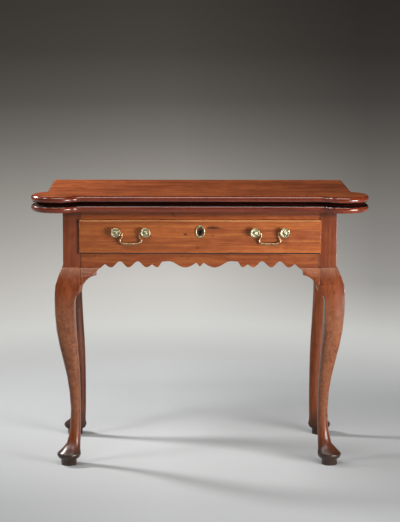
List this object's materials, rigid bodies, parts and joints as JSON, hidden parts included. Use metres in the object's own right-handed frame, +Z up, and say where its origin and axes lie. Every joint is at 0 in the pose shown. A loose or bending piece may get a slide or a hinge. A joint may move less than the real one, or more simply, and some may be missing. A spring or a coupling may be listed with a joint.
{
  "type": "folding card table",
  "caption": "Wooden card table with a fold-over turret-cornered top, cabriole legs on pad feet, a swing leg, a scalloped front rail and a lipped drawer with brass pulls.",
  "frame": {"origin": "on the floor, under the middle of the closed table's bounding box", "axes": "+X to the viewer's right, front towards -Y, +Z up"},
  "size_m": [0.8628, 0.4238, 0.711],
  "materials": {
    "frame_mahogany": "polished",
    "leaf_mahogany": "polished",
    "oak": "bare",
    "brass": "aged",
    "iron": "forged"
  },
  "bodies": {
    "frame": {"front_left_leg": "frame_mahogany", "front_right_leg": "frame_mahogany", "rear_left_leg": "frame_mahogany", "front_left_face_bracket": "frame_mahogany", "front_left_side_bracket": "frame_mahogany", "front_right_face_bracket": "frame_mahogany", "front_right_side_bracket": "frame_mahogany", "rear_left_side_bracket": "frame_mahogany", "front_top_rail": "frame_mahogany", "front_lower_rail": "frame_mahogany", "left_side_rail": "frame_mahogany", "right_side_rail": "frame_mahogany", "inner_back_rail": "oak", "fixed_back_rail": "oak", "knuckle_pin": "iron", "left_drawer_runner": "oak", "right_drawer_runner": "oak", "left_drawer_guide": "oak", "right_drawer_guide": "oak", "left_drawer_kicker": "oak", "right_drawer_kicker": "oak", "left_corner_block": "oak", "right_corner_block": "oak", "lower_leaf": "leaf_mahogany", "left_hinge_lower_plate": "brass", "right_hinge_lower_plate": "brass", "hinge_lower_pins": "brass"},
    "gate": {"swing_leg": "frame_mahogany", "fly_rail": "oak", "swing_leg_bracket": "frame_mahogany"},
    "hinge_links": {"left_hinge_link": "brass", "right_hinge_link": "brass"},
    "flap": {"flap_leaf": "leaf_mahogany", "left_hinge_flap_plate": "brass", "right_hinge_flap_plate": "brass", "hinge_flap_pins": "brass"},
    "drawer": {"drawer_front": "frame_mahogany", "drawer_left_side": "oak", "drawer_right_side": "oak", "drawer_back": "oak", "drawer_bottom": "oak", "left_pull_posts": "brass", "right_pull_posts": "brass", "pull_nuts": "brass", "escutcheon": "brass", "lock_case": "iron"},
    "left_bail": {"left_bail": "brass"},
    "right_bail": {"right_bail": "brass"},
    "lock_bolt": {"lock_bolt": "iron"}
  },
  "joints": [
    {"name": "flap_fold", "type": "hinge", "parent": "hinge_links", "child": "flap", "pos_m": [0, 0.1826, 0.6965], "axis": [-1, 0, 0], "range_deg": [0, 90]},
    {"name": "link_fold", "type": "hinge", "parent": "frame", "child": "hinge_links", "pos_m": [0, 0.1826, 0.6821], "axis": [-1, 0, 0], "range_deg": [0, 90]},
    {"name": "gate_swing", "type": "hinge", "parent": "frame", "child": "gate", "pos_m": [0, 0.1674, 0.594], "axis": [0, 0, 1], "range_deg": [0, 90]},
    {"name": "drawer_slide", "type": "slide", "parent": "frame", "child": "drawer", "axis": [0, -1, 0], "range_m": [0, 0.22]},
    {"name": "left_bail_swing", "type": "hinge", "parent": "drawer", "child": "left_bail", "pos_m": [-0.178, -0.1689, 0.6145], "axis": [-1, 0, 0], "range_deg": [0, 95]},
    {"name": "right_bail_swing", "type": "hinge", "parent": "drawer", "child": "right_bail", "pos_m": [0.178, -0.1689, 0.6145], "axis": [-1, 0, 0], "range_deg": [0, 95]},
    {"name": "bolt_throw", "type": "slide", "parent": "drawer", "child": "lock_bolt", "axis": [0, 0, 1], "range_m": [0, 0.008]}
  ],
  "couplings": [
    {"joint": "link_fold", "follows": "flap_fold", "ratio": 1}
  ]
}
